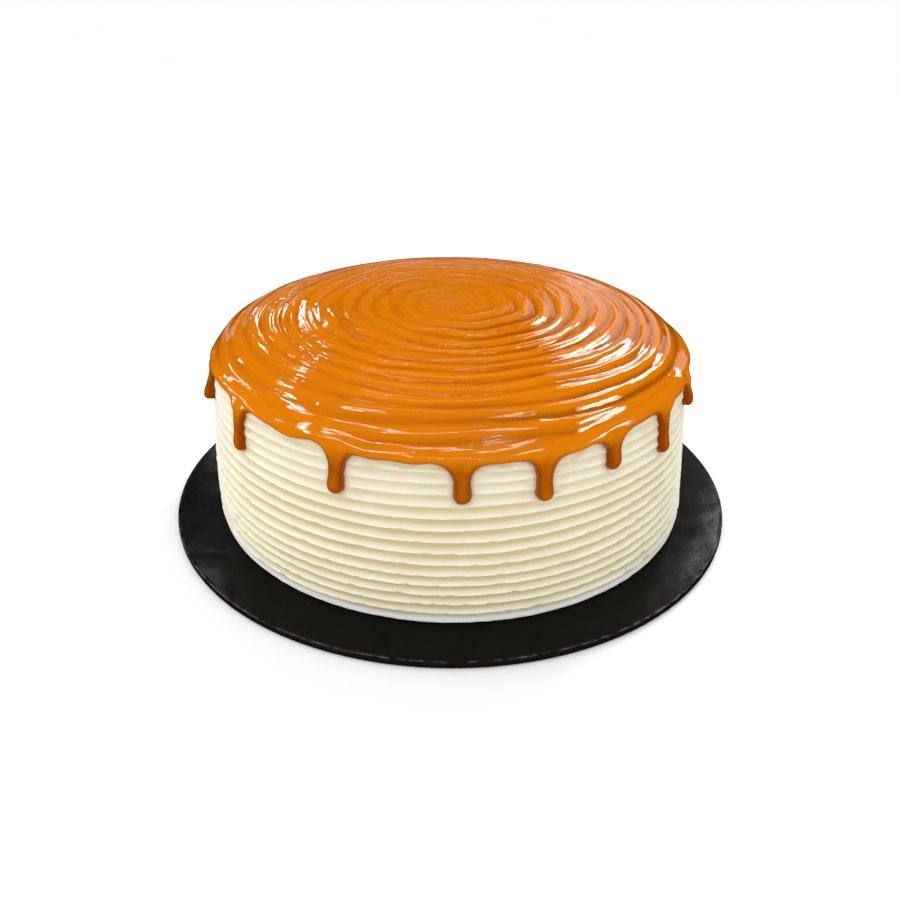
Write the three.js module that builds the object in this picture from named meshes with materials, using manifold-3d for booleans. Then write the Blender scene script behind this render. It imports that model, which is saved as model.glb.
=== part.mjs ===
// Dulce de leche cake on its round cake board, in millimetres, +Z up.
// The origin is the centre of the board's underside. The front of the cake faces -Y.
// Three pieces: the board, the cake in its combed cream, and the caramel poured over its top.

import * as THREE from 'three';
import { mergeVertices } from 'three/addons/utils/BufferGeometryUtils.js';
import Module from 'manifold-3d';

const wasm = await Module();
wasm.setup();

// --- driving sizes ---------------------------------------------------------------------------

// Cake board: a thin disc of card with a rounded edge.
const BOARD_RADIUS = 127;
const BOARD_THICKNESS = 3;
const BOARD_EDGE_ROUNDING = 0.8;
const BOARD_SEGMENTS = 64;
const EDGE_ROUNDING_STEPS = 2;

// Heights from here on are measured from the board's top face, where the cake stands.
const CAKE_OFFSET_X = 0.2;
const CAKE_OFFSET_Y = -0.8;
const SEGMENTS = 56;

// Combed wall of the cream: an upright cone, with its foot drawn in a little.
const FOOT_RADIUS = 105.1;
const WALL_RADIUS = 107.4;
const WALL_TAPER = 0.07;
const FIRST_CREST = 5.9;
const COMB_PASSES = [
  { grooves: 4, pitch: 4.1 },
  { grooves: 7, pitch: 4.74 },
  { grooves: 4, pitch: 4.3 },
];
const GROOVE_DEPTH = 1.7;
const GROOVE_ROWS = [0.36, 0.72];
const GROOVE_DEEPEST = 0.65;
const GROOVE_ROUNDNESS = 0.8;

// Hand-made unevenness of the wall: a bulge to the left at mid-height, and wavering ridges.
const WALL_BULGE = 0.9;
const WALL_WANDER = 0.25;
const WALL_WANDER_HEIGHT = 18;
const WANDER_TOP = 75;
const RIDGE_WANDER = 0.25;
const RIDGE_PHASE = 0.35;

// Dome of the caramel: a superellipse that turns from the level top over a broad shoulder.
const DOME_RIM = 108.3;
const DOME_SPRING = 54.2;
const DOME_TOP = 88.9;
const DOME_SIDE_POWER = 4.3;
const DOME_TOP_POWER = 2.6;
const SIDE_INSET_SHARE = 0.45;
const CARAMEL_THICKNESS = 2.6;
const GAP = 0.45;
const UNDERSIDE_CLIMBS = [0.03, 0.5];
const SHOULDER_HEIGHTS = [76, 79.5];
const TOP_RADII = [84, 58, 28];

// Spiral that the spatula leaves while the cake turns.
const SPIRAL_TURNS = 12;
const SPIRAL_START = 0.5;
const HALF_PITCH = 0.5;
const SPIRAL_RADIUS = 98;
const SPIRAL_POWER = 0.8;
const SPIRAL_RELIEF = 0.8;
const SPIRAL_LUMPS = 0.25;
const SPIRAL_FADE_TURNS = 1.5;
const SPIRAL_CENTRE_X = 4;
const SPIRAL_CENTRE_Y = -2;

// Wavy lower edge of the caramel.
const EDGE_HEIGHT = 69.6;
const EDGE_WAVE = 2;
const EDGE_WAVES = 3;
const EDGE_LOWEST = -82;
const LIP_ROWS = [
  { above: 3, bulge: 0.2 },
  { above: 1.1, bulge: 0.35 },
  { above: 0, bulge: -0.6 },
];

// Drips: direction in degrees and height of the tip, from the left limb round the front.
const FRONT_DRIPS = [
  [-164.5, 56.8], [-141.2, 52.4], [-124, 68], [-113.1, 51.9], [-98, 67], [-88, 52.5],
  [-71.4, 50.8], [-55.5, 56.4], [-38, 51.5], [-22, 60],
];
const BACK_DRIPS = 12;
const BACK_DRIPS_START = 4;
const BACK_DRIPS_END = 176;
const BACK_DRIP_SWAY = 8;
const BACK_DRIP_LOWEST = 51;
const BACK_DRIP_SPREAD = 10;
const SPREAD_STEPS = { direction: 0.618, tip: 0.414 };
const DRIP_ARC_POINTS = 7;
const DRIP_TIP_BULGE = 0.5;

// Sections of a drip down its run: from the root inside the lip, over a wide fillet and a
// narrower neck, to the round tip. share is the part of the run that lies above the section.
const DRIP_SECTIONS = [
  { share: 0, lift: 3.4, half: 5.8, bulge: 1.6, sunk: 0.7 },
  { share: 0, lift: 0.6, half: 7.5, bulge: 1.7, sunk: 0 },
  { share: 0.2, lift: 0, half: 4, bulge: 2, sunk: 0 },
  { share: 0.5, lift: 0, half: 3.1, bulge: 2.1, sunk: 0 },
  { share: 0.8, lift: 0, half: 3.2, bulge: 2.3, sunk: 0 },
  { share: 0.94, lift: 0, half: 2.3, bulge: 1.8, sunk: 0 },
];

// --- shared formulas -------------------------------------------------------------------------

const angleOf = (index) => (2 * Math.PI * index) / SEGMENTS;
const radians = (degrees) => (degrees * Math.PI) / 180;

// A point of the cake, from its own axis and the board's top face.
function cakePoint(radius, angle, height) {
  return new THREE.Vector3(
    CAKE_OFFSET_X + radius * Math.cos(angle),
    CAKE_OFFSET_Y + radius * Math.sin(angle),
    BOARD_THICKNESS + height,
  );
}

// Radius at a height of the surface that lies the given depth under the caramel's dome.
function domeRadius(height, depth) {
  const rise = Math.max(0, height - DOME_SPRING) / (DOME_TOP - depth - DOME_SPRING);
  const rim = DOME_RIM - SIDE_INSET_SHARE * depth;
  return rim * (1 - Math.min(1, rise) ** DOME_TOP_POWER) ** (1 / DOME_SIDE_POWER);
}

// Height at a radius of that same surface.
function domeHeight(radius, depth) {
  const rim = DOME_RIM - SIDE_INSET_SHARE * depth;
  const fall = Math.min(1, radius / rim) ** DOME_SIDE_POWER;
  return DOME_SPRING + (DOME_TOP - depth - DOME_SPRING) * (1 - fall) ** (1 / DOME_TOP_POWER);
}

// A hand's waver on the way round: two slow waves with five quicker ones on them.
function waver(angle, phase) {
  return Math.sin(2 * angle + phase) + 0.6 * Math.sin(5 * angle + 2 * phase);
}

// How far the wall stands out of round; nothing is left of it under the caramel.
function wallWander(angle, height) {
  const fade = Math.sin(Math.PI * Math.min(1, height / WANDER_TOP));
  const wander = WALL_WANDER * waver(angle, height / WALL_WANDER_HEIGHT);
  return fade * (wander - WALL_BULGE * Math.cos(angle));
}

// Radius through the crests of the ridges, or of the plain shoulder under the caramel.
function creamRadius(angle, height) {
  const wall = WALL_RADIUS - WALL_TAPER * height;
  const shoulder = domeRadius(height, CARAMEL_THICKNESS + GAP);
  return Math.min(wall, shoulder) + wallWander(angle, height);
}

// Depth of a comb groove, from 0 at one crest through its deepest line to 0 at the next.
function grooveDepth(share) {
  const skewed = share ** (Math.log(0.5) / Math.log(GROOVE_DEEPEST));
  return GROOVE_DEPTH * Math.sin(Math.PI * skewed) ** GROOVE_ROUNDNESS;
}

// Height of the caramel's lower edge, which hangs lowest near the front.
function edgeHeight(angle) {
  return EDGE_HEIGHT - EDGE_WAVE * Math.cos(EDGE_WAVES * (angle - radians(EDGE_LOWEST)));
}

// --- meshes ----------------------------------------------------------------------------------

// Collects points and faces, and gives them back as one closed geometry.
class Shell {
  points = [];
  faces = [];

  row(makePoint, count = SEGMENTS) {
    return Array.from({ length: count }, (_, index) => this.point(makePoint(index)));
  }

  point(vector) {
    this.points.push(vector.x, vector.y, vector.z);
    return this.points.length / 3 - 1;
  }

  quad(a, b, c, d) {
    this.faces.push(a, b, c, a, c, d);
  }

  // Joins a closed row to the next one further along the surface.
  band(lower, upper) {
    for (let index = 0; index < lower.length; index += 1) {
      const next = (index + 1) % lower.length;
      this.quad(lower[index], lower[next], upper[next], upper[index]);
    }
  }

  // Closes a row onto one point; the row runs the way that leaves the face outward.
  fan(row, centre) {
    for (let index = 0; index < row.length; index += 1) {
      this.faces.push(row[index], row[(index + 1) % row.length], centre);
    }
  }

  geometry() {
    const geometry = new THREE.BufferGeometry();
    geometry.setAttribute('position', new THREE.Float32BufferAttribute(this.points, 3));
    geometry.setIndex(this.faces);
    return geometry;
  }
}

function toManifold(geometry) {
  const bare = geometry.clone();
  bare.deleteAttribute('normal');
  bare.deleteAttribute('uv');
  const merged = mergeVertices(bare, 1e-5);
  return new wasm.Manifold(new wasm.Mesh({
    numProp: 3,
    vertProperties: new Float32Array(merged.attributes.position.array),
    triVerts: new Uint32Array(merged.index.array),
  }));
}

function fromManifold(solid) {
  const mesh = solid.getMesh();
  const geometry = new THREE.BufferGeometry();
  geometry.setAttribute('position', new THREE.BufferAttribute(mesh.vertProperties, 3));
  geometry.setIndex(new THREE.BufferAttribute(mesh.triVerts, 1));
  return geometry;
}

// --- cake board ------------------------------------------------------------------------------

function boardGeometry() {
  const rounding = BOARD_EDGE_ROUNDING;
  const profile = [new THREE.Vector2(0, 0)];
  for (const [centreHeight, startTurn] of [[rounding, -0.5], [BOARD_THICKNESS - rounding, 0]]) {
    for (let step = 0; step <= EDGE_ROUNDING_STEPS; step += 1) {
      const turn = Math.PI * (startTurn + (0.5 * step) / EDGE_ROUNDING_STEPS);
      profile.push(new THREE.Vector2(
        BOARD_RADIUS - rounding + rounding * Math.cos(turn),
        centreHeight + rounding * Math.sin(turn),
      ));
    }
  }
  profile.push(new THREE.Vector2(0, BOARD_THICKNESS));
  const board = new THREE.LatheGeometry(profile, BOARD_SEGMENTS);
  board.rotateX(Math.PI / 2);
  return board;
}

// --- cake in combed cream --------------------------------------------------------------------

// Rows of the wall from the foot up: each has its height, the groove's depth and the ridge.
function wallRows() {
  const rows = [];
  let crest = 0;
  let ridge = 0;
  const addGroove = (pitch) => {
    for (const share of GROOVE_ROWS) {
      rows.push({ height: crest + share * pitch, depth: grooveDepth(share), ridge });
    }
    crest += pitch;
    ridge += 1;
    rows.push({ height: crest, depth: 0, ridge });
  };
  addGroove(FIRST_CREST);
  for (const pass of COMB_PASSES) {
    for (let groove = 0; groove < pass.grooves; groove += 1) {
      addGroove(pass.pitch);
    }
  }
  return rows;
}

function cakeGeometry() {
  const shell = new Shell();
  let last = shell.row((index) => cakePoint(FOOT_RADIUS, angleOf(index), 0));
  const underside = shell.point(cakePoint(0, 0, 0));
  shell.fan([...last].reverse(), underside);
  const addRow = (makePoint) => {
    const next = shell.row(makePoint);
    shell.band(last, next);
    last = next;
  };
  for (const { height, depth, ridge } of wallRows()) {
    addRow((index) => {
      const angle = angleOf(index);
      const wavered = height + RIDGE_WANDER * waver(angle, RIDGE_PHASE * ridge);
      const drawnIn = (WALL_RADIUS - FOOT_RADIUS) * Math.max(0, 1 - height / FIRST_CREST) ** 2;
      return cakePoint(creamRadius(angle, wavered) - depth - drawnIn, angle, wavered);
    });
  }
  const depth = CARAMEL_THICKNESS + GAP;
  for (const height of SHOULDER_HEIGHTS) {
    addRow((index) => cakePoint(domeRadius(height, depth), angleOf(index), height));
  }
  for (const radius of TOP_RADII) {
    addRow((index) => cakePoint(radius, angleOf(index), domeHeight(radius, depth)));
  }
  shell.fan(last, shell.point(cakePoint(0, 0, domeHeight(0, depth))));
  return shell.geometry();
}

// --- caramel ---------------------------------------------------------------------------------

// A point of the spatula's spiral after the given number of turns. Crests stand up, hollows
// lie down, and both fade into the plain dome at the centre and towards the rim.
function spiralPoint(turn, angle, side) {
  const share = turn / SPIRAL_TURNS;
  const radius = SPIRAL_RADIUS * share ** SPIRAL_POWER;
  const shift = 1 - share * share;
  const x = SPIRAL_CENTRE_X * shift + radius * Math.cos(angle);
  const y = SPIRAL_CENTRE_Y * shift + radius * Math.sin(angle);
  const turnsToEnd = SPIRAL_TURNS + HALF_PITCH - turn;
  const fade = Math.min(1, turn / SPIRAL_FADE_TURNS, turnsToEnd / SPIRAL_FADE_TURNS);
  const lumps = 1 - SPIRAL_LUMPS * (1 - Math.sin(3 * angle + 2 * turn));
  const distance = Math.hypot(x, y);
  const height = domeHeight(distance, 0) + side * SPIRAL_RELIEF * fade * lumps;
  return cakePoint(distance, Math.atan2(y, x), height);
}

// The poured layer: spiral top, bead along the wavy edge, and the underside on the cream.
function caramelLayer() {
  const shell = new Shell();
  const steps = Math.round((SPIRAL_TURNS - SPIRAL_START) * SEGMENTS);
  const turnOf = (step) => SPIRAL_START + step / SEGMENTS;
  const crest = shell.row((step) => spiralPoint(turnOf(step), angleOf(step), 1), steps + 1);
  const hollow = shell.row(
    (step) => spiralPoint(turnOf(step) + HALF_PITCH, angleOf(step), -1),
    steps + 1,
  );
  for (let step = 0; step < steps; step += 1) {
    shell.quad(crest[step], hollow[step], hollow[step + 1], crest[step + 1]);
    if (step + SEGMENTS < steps) {
      const outer = step + SEGMENTS;
      shell.quad(hollow[step], crest[outer], crest[outer + 1], hollow[step + 1]);
    }
  }
  shell.fan([...crest.slice(0, SEGMENTS + 1), hollow[0]], shell.point(spiralPoint(0, 0, 0)));

  const lipRow = ({ above, bulge }) => shell.row((index) => {
    const angle = angleOf(index + steps);
    const height = edgeHeight(angle) + above;
    return cakePoint(domeRadius(height, 0) + bulge, angle, height);
  });
  let last = lipRow(LIP_ROWS[0]);
  const outerTurn = hollow.slice(steps - SEGMENTS, steps + 1);
  for (let index = 0; index < SEGMENTS; index += 1) {
    const next = (index + 1) % SEGMENTS;
    shell.quad(outerTurn[index], last[index], last[next], outerTurn[index + 1]);
  }
  shell.faces.push(outerTurn[SEGMENTS], last[0], crest[steps]);
  shell.faces.push(crest[steps], last[0], outerTurn[0]);

  const addRow = (makePoint) => {
    const next = shell.row(makePoint);
    shell.band(next, last);
    last = next;
  };
  for (const lip of LIP_ROWS.slice(1)) {
    const next = lipRow(lip);
    shell.band(next, last);
    last = next;
  }
  const depth = CARAMEL_THICKNESS;
  for (const climb of UNDERSIDE_CLIMBS) {
    addRow((index) => {
      const angle = angleOf(index + steps);
      const edge = edgeHeight(angle);
      const height = edge + climb * (SHOULDER_HEIGHTS[0] - edge);
      return cakePoint(domeRadius(height, depth), angle, height);
    });
  }
  for (const height of SHOULDER_HEIGHTS) {
    addRow((index) => cakePoint(domeRadius(height, depth), angleOf(index + steps), height));
  }
  for (const radius of TOP_RADII) {
    addRow((index) => cakePoint(radius, angleOf(index + steps), domeHeight(radius, depth)));
  }
  shell.fan([...last].reverse(), shell.point(cakePoint(0, 0, domeHeight(0, depth))));
  return toManifold(shell.geometry());
}

// One run of caramel down the wall, flat where it lies on the cream and round outside.
function drip(direction, tip) {
  const angle = radians(direction);
  const edge = edgeHeight(angle);
  const backRadius = (height) => creamRadius(angle, height) + GAP;
  const shell = new Shell();
  const rows = DRIP_SECTIONS.map(({ share, lift, half, bulge, sunk }) => {
    const height = edge + lift - share * (edge - tip);
    const back = backRadius(height) + sunk;
    return shell.row((index) => {
      const turn = (Math.PI * index) / (DRIP_ARC_POINTS - 1);
      const across = -half * Math.cos(turn);
      return cakePoint(back + bulge * Math.sin(turn), angle + across / back, height);
    }, DRIP_ARC_POINTS);
  });
  const root = DRIP_SECTIONS[0];
  const rootHeight = edge + root.lift;
  const rootCentre = backRadius(rootHeight) + root.sunk + root.bulge / 2;
  shell.fan(rows[0], shell.point(cakePoint(rootCentre, angle, rootHeight)));
  for (let index = 1; index < rows.length; index += 1) {
    shell.band(rows[index], rows[index - 1]);
  }
  const end = shell.point(cakePoint(backRadius(tip) + DRIP_TIP_BULGE, angle, tip));
  shell.fan([...rows.at(-1)].reverse(), end);
  return toManifold(shell.geometry());
}

// Drips round the back, which are not seen: evenly spread, with lengths that differ.
function backDrips() {
  const spread = (index, step) => ((index + 1) * step) % 1;
  return Array.from({ length: BACK_DRIPS }, (_, index) => {
    const share = index / (BACK_DRIPS - 1);
    const sway = BACK_DRIP_SWAY * (spread(index, SPREAD_STEPS.direction) - 0.5);
    const direction = THREE.MathUtils.lerp(BACK_DRIPS_START, BACK_DRIPS_END, share) + sway;
    const tip = BACK_DRIP_LOWEST + BACK_DRIP_SPREAD * spread(index, SPREAD_STEPS.tip);
    return [direction, tip];
  });
}

function caramelGeometry() {
  let caramel = caramelLayer();
  for (const [direction, tip] of [...FRONT_DRIPS, ...backDrips()]) {
    caramel = caramel.add(drip(direction, tip));
  }
  return fromManifold(caramel);
}

// --- assembly --------------------------------------------------------------------------------

function piece(name, geometry, color, roughness) {
  const material = new THREE.MeshStandardMaterial({ color, roughness, metalness: 0 });
  const mesh = new THREE.Mesh(geometry, material);
  mesh.name = name;
  return mesh;
}

const group = new THREE.Group();
group.add(piece('cake_board', boardGeometry(), 0x1a1a1c, 0.3));
group.add(piece('cake', cakeGeometry(), 0xf4ecd4, 0.55));
group.add(piece('dulce_de_leche', caramelGeometry(), 0xd06c08, 0.12));

export default group;
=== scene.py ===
import math
import bpy
import numpy as np
from mathutils import Matrix, Vector


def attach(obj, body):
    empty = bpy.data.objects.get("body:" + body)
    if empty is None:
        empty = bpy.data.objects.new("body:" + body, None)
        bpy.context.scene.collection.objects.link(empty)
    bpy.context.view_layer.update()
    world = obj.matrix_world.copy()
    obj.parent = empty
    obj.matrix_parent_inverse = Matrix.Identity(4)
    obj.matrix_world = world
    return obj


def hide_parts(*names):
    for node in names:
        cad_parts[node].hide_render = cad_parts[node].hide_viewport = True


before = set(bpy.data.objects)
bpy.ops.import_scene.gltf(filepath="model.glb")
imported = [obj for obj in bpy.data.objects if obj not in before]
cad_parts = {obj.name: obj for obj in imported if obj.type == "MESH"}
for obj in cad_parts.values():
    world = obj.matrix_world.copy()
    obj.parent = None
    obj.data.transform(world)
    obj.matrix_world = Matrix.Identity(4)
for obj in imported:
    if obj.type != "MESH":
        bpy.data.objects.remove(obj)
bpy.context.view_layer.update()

# Sizes are in millimetres here and become metres when a mesh is placed. Heights of the cake
# are measured from the board's top face, and its radii from its own axis. Directions are in
# degrees round the cake from +X. Where a value is a noise, it is given as the size of its bumps
# and its seed.
MM = 0.001
BODY = "root"

BOARD_RADIUS = 127
BOARD_THICKNESS = 3
CAKE_AXIS_X = 0.2
CAKE_AXIS_Y = -0.8
CAKE_PLACE = (CAKE_AXIS_X, CAKE_AXIS_Y, BOARD_THICKNESS)

FOOT_RADIUS = 105.1
WALL_RADIUS = 107.4
WALL_TAPER = 0.07
FIRST_CREST = 5.9
COMB_PASSES = [(4, 4.1), (7, 4.74), (4, 4.3)]
GROOVE_DEPTH = 1.75
GROOVE_DEEPEST = 0.65
GROOVE_ROUNDNESS = 0.8
WALL_BULGE = 0.9
WALL_WANDER = 0.25
WALL_WANDER_HEIGHT = 18
WANDER_TOP = 75
RIDGE_WANDER = 0.25
RIDGE_PHASE = 0.35

DOME_RIM = 108.3
DOME_SPRING = 54.2
DOME_TOP = 88.9
DOME_SIDE_POWER = 4.3
DOME_TOP_POWER = 2.6
SIDE_INSET_SHARE = 0.45
CARAMEL_THICKNESS = 2.6
GAP = 0.45

EDGE_HEIGHT = 70.6
EDGE_WAVE = 2
EDGE_WAVES = 3
EDGE_LOWEST = -82
EDGE_UNEVENNESS = [(0.3, 14, 1), (0.15, 5, 2)]
SHARE_ALONG_WALL = 0.97
LIP_THICKNESS = 2.35
BEAD_WIDTH = 2.5
# The line where the caramel touches the cream lies this far below the bead's own edge.
CONTACT_DROP = 1.0
# Places where the edge sags between drips: direction, half width in degrees and depth.
SAGS = [
    (-130, 6, 1.2), (-124, 3.5, 1.8), (-106, 4, 1.6), (-98, 3.5, 1.3), (-81, 5, 0.5),
    (-65, 3, 1), (-30, 6, 1.4), (-8, 5, 0.8), (14, 4, 1.0), (47, 6, 0.9), (83, 5, 1.2),
    (121, 4, 0.8), (166, 6, 1.0),
]

DRIP_FILLET = 8
DRIP_HALF_WIDTH = 3.65
DRIP_END_HEIGHT = 3.2
DRIP_ROOT_RISE = 1
DRIP_SWAY = 0.3
DRIP_SWAY_HEIGHT = 4.1
DRIP_SWAY_PHASE = 2.3
# A drip of this length or more has its full waist. The waist's height is taken from the tip.
LONG_DRIP = 8
WAIST_DEPTH = 0.5
WAIST_HEIGHT = 8
WAIST_SPREAD = 4.5

# Drips: direction, height of the tip and how far they stand out more than usual, from the left
# limb round the front.
FRONT_DRIPS = [
    (-164.5, 56.8, 2.2), (-141.2, 52.4, 0.2), (-113.1, 51.9, 0.2), (-88, 52.5, 0),
    (-71.4, 50.8, 0.1), (-55.5, 56.4, 0.2), (-38, 51.5, 0.2), (-22, 60, 1.3),
]
BACK_DRIPS = 12
BACK_DRIPS_START = 4
BACK_DRIPS_END = 176
BACK_DRIPS_SWAY = 8
BACK_DRIPS_LOWEST = 51
BACK_DRIPS_RANGE = 10
BACK_DRIPS_STOUT = 0.5
# Steps that give each drip behind another place and length, with none alike.
PLACE_STEP = 0.618
LENGTH_STEP = 0.414


def back_drips():
    """The drips the photograph doesn't show, spread round the back by a fixed rule."""
    step = (BACK_DRIPS_END - BACK_DRIPS_START) / (BACK_DRIPS - 1)
    drips = []
    for index in range(BACK_DRIPS):
        sway = BACK_DRIPS_SWAY * (math.modf((index + 1) * PLACE_STEP)[0] - 0.5)
        tip = BACK_DRIPS_LOWEST + BACK_DRIPS_RANGE * math.modf((index + 1) * LENGTH_STEP)[0]
        drips.append((BACK_DRIPS_START + index * step + sway, tip, BACK_DRIPS_STOUT))
    return drips


DRIPS = FRONT_DRIPS + back_drips()


# --- shape of the cake, the same as its solids -------------------------------------------------

def hump(value, centre, width):
    """A smooth hump, 1 high at its centre, that has faded at about twice its width from it."""
    return np.exp(-((value - centre) / width) ** 2)


def dome_radius(height, depth):
    rise = np.clip((height - DOME_SPRING) / (DOME_TOP - depth - DOME_SPRING), 0, 1)
    rim = DOME_RIM - SIDE_INSET_SHARE * depth
    return rim * (1 - rise ** DOME_TOP_POWER) ** (1 / DOME_SIDE_POWER)


def dome_height(radius, depth):
    rim = DOME_RIM - SIDE_INSET_SHARE * depth
    fall = np.clip(radius / rim, 0, 1) ** DOME_SIDE_POWER
    return DOME_SPRING + (DOME_TOP - depth - DOME_SPRING) * (1 - fall) ** (1 / DOME_TOP_POWER)


def degrees_between(angle, direction):
    """From a direction in degrees to an angle in radians, the short way round, in degrees."""
    return (np.degrees(angle) - direction + 180) % 360 - 180


def waver(angle, phase):
    return np.sin(2 * angle + phase) + 0.6 * np.sin(5 * angle + 2 * phase)


def wall_wander(angle, height):
    fade = np.sin(np.pi * np.clip(height / WANDER_TOP, 0, 1))
    wander = WALL_WANDER * waver(angle, height / WALL_WANDER_HEIGHT)
    return fade * (wander - WALL_BULGE * np.cos(angle))


def cream_radius(angle, height):
    """Radius through the crests of the comb's ridges."""
    wall = WALL_RADIUS - WALL_TAPER * height
    shoulder = dome_radius(height, CARAMEL_THICKNESS + GAP)
    return np.minimum(wall, shoulder) + wall_wander(angle, height)


def crest_heights():
    crests = [0, FIRST_CREST]
    for grooves, pitch in COMB_PASSES:
        for _ in range(grooves):
            crests.append(crests[-1] + pitch)
    return crests


CRESTS = np.array(crest_heights())


def groove_depth(share):
    skewed = np.clip(share, 0, 1) ** (math.log(0.5) / math.log(GROOVE_DEEPEST))
    return GROOVE_DEPTH * np.sin(np.pi * skewed).clip(0) ** GROOVE_ROUNDNESS


def edge_height(angle):
    """Height of the caramel's wavy lower edge between the drips."""
    height = EDGE_HEIGHT - EDGE_WAVE * np.cos(EDGE_WAVES * (angle - math.radians(EDGE_LOWEST)))
    for direction, half, depth in SAGS:
        height = height - depth * hump(degrees_between(angle, direction), 0, half)
    return height - CONTACT_DROP


# Large odd numbers that stir a cell's place and the seed into a slope that looks random.
CELL_STEPS = np.array([73856093, 19349663, 83492791])
SEED_STEP = 7919
STIRS = ((13, 1274126177), (15, 668265263))
KEPT_BITS = 0x7FFFFFFF
SLOPE_BITS = (3, 11, 19)
BYTE = 255
ROUGH_REACH = 1.7


def rough(places, size, seed):
    """Smooth noise from about -1 to 1 at places in mm, with bumps of the given size."""
    scaled = np.asarray(places, float) / size
    cell = np.floor(scaled).astype(np.int64)
    part = scaled - cell
    ease = part ** 3 * (part * (part * 6 - 15) + 10)
    total = np.zeros(len(part))
    for corner in np.ndindex(2, 2, 2):
        key = ((cell + corner) * CELL_STEPS).sum(-1) + SEED_STEP * seed
        for shift, stir in STIRS:
            key = (key ^ (key >> shift)) * stir & KEPT_BITS
        slopes = [(key >> shift & BYTE) / (BYTE / 2) - 1 for shift in SLOPE_BITS]
        lean = sum(slope * (part[:, axis] - corner[axis]) for axis, slope in enumerate(slopes))
        total += lean * np.where(corner, ease, 1 - ease).prod(-1)
    return ROUGH_REACH * total


def softer_max(first, second, width):
    """The larger of two distances, rounded over where they meet."""
    overlap = np.clip(width - np.abs(first - second), 0, None) / width
    return np.maximum(first, second) + overlap ** 2 * width / 4


def drip_distances(angle, height):
    """How far inside each drip a place on the wall lies, with the drip's own coordinates."""
    for index, (direction, tip, stout) in enumerate(DRIPS):
        root = edge_height(math.radians(direction))
        sway = DRIP_SWAY * np.sin(height / DRIP_SWAY_HEIGHT + DRIP_SWAY_PHASE * index)
        across = math.radians(WALL_RADIUS) * degrees_between(angle, direction) - sway
        long_drip = min(1, max(0, (root - tip) / LONG_DRIP))
        waist = WAIST_DEPTH * long_drip * hump(height - tip, WAIST_HEIGHT, WAIST_SPREAD)
        low_centre = tip + DRIP_END_HEIGHT
        high_centre = max(low_centre, root + DRIP_ROOT_RISE)
        along = np.clip(low_centre - height, 0, None) + np.clip(height - high_centre, 0, None)
        in_drip = DRIP_HALF_WIDTH - waist - np.hypot(across, along)
        yield in_drip, across, root, tip, long_drip, stout


def edge_inside(angle, height):
    """Signed distance in mm along the wall from the caramel's edge, as if no drips hung there."""
    places = np.stack([
        WALL_RADIUS * np.cos(angle), WALL_RADIUS * np.sin(angle), np.zeros_like(angle)], -1)
    uneven = sum(depth * rough(places, size, seed) for depth, size, seed in EDGE_UNEVENNESS)
    return SHARE_ALONG_WALL * (height - edge_height(angle) - uneven)


def caramel_inside(angle, height):
    """Signed distance in mm along the wall from the caramel's outline, positive inside it."""
    inside = edge_inside(angle, height)
    for in_drip, *_ in drip_distances(angle, height):
        inside = softer_max(inside, in_drip, DRIP_FILLET)
    return inside


# --- making and placing meshes -----------------------------------------------------------------

WELD = 0.01 * MM


def nothing_selected():
    if bpy.context.object and bpy.context.object.mode != "OBJECT":
        bpy.ops.object.mode_set(mode="OBJECT")
    bpy.ops.object.select_all(action="DESELECT")


def active(piece):
    nothing_selected()
    piece.select_set(True)
    bpy.context.view_layer.objects.active = piece


def spun(name, profile, steps):
    """A profile of (radius, height) in mm, drawn point by point and turned once about Z."""
    nothing_selected()
    bpy.ops.mesh.primitive_plane_add(size=MM, location=(0, 0, 0))
    piece = bpy.context.object
    piece.name = piece.data.name = name
    bpy.ops.object.mode_set(mode="EDIT")
    bpy.ops.mesh.select_all(action="SELECT")
    bpy.ops.mesh.merge(type="CENTER")
    bpy.ops.transform.translate(value=(profile[0][0] * MM, 0, profile[0][1] * MM))
    for last, here in zip(profile, profile[1:]):
        move = ((here[0] - last[0]) * MM, 0, (here[1] - last[1]) * MM)
        bpy.ops.mesh.extrude_vertices_move(TRANSFORM_OT_translate={"value": move})
    bpy.ops.object.mode_set(mode="OBJECT")
    turn = piece.modifiers.new("turn", "SCREW")
    turn.angle = math.tau
    turn.steps = turn.render_steps = steps
    turn.use_merge_vertices = True
    turn.merge_threshold = WELD
    bpy.ops.object.modifier_apply(modifier=turn.name)
    bpy.ops.object.mode_set(mode="EDIT")
    bpy.ops.mesh.select_all(action="SELECT")
    bpy.ops.mesh.remove_doubles(threshold=WELD)
    bpy.ops.mesh.normals_make_consistent(inside=False)
    bpy.ops.object.mode_set(mode="OBJECT")
    return piece


def places_of(piece):
    """Radius, angle and height of every point of a mesh, in mm."""
    flat = np.empty(len(piece.data.vertices) * 3)
    piece.data.vertices.foreach_get("co", flat)
    x, y, z = (flat / MM).reshape(-1, 3).T
    return np.hypot(x, y), np.arctan2(y, x), z


def place(piece, radius, angle, height, offset=(0, 0, 0)):
    points = np.stack([
        radius * np.cos(angle) + offset[0], radius * np.sin(angle) + offset[1],
        height + offset[2] + np.zeros_like(radius)], -1)
    piece.data.vertices.foreach_set("co", (points * MM).ravel())
    piece.data.update()


def paint(piece, name, values):
    """Keeps one value for each point, for the finish to read."""
    layer = piece.data.attributes.new(name, "FLOAT", "POINT")
    layer.data.foreach_set("value", np.asarray(values, np.float32))


def finish_piece(piece, finish, slot, *nodes):
    active(piece)
    bpy.ops.object.shade_smooth()
    piece.data.materials.clear()
    piece.data.materials.append(finish)
    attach(piece, BODY)
    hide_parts(*nodes)


# --- finishes ----------------------------------------------------------------------------------

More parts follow.
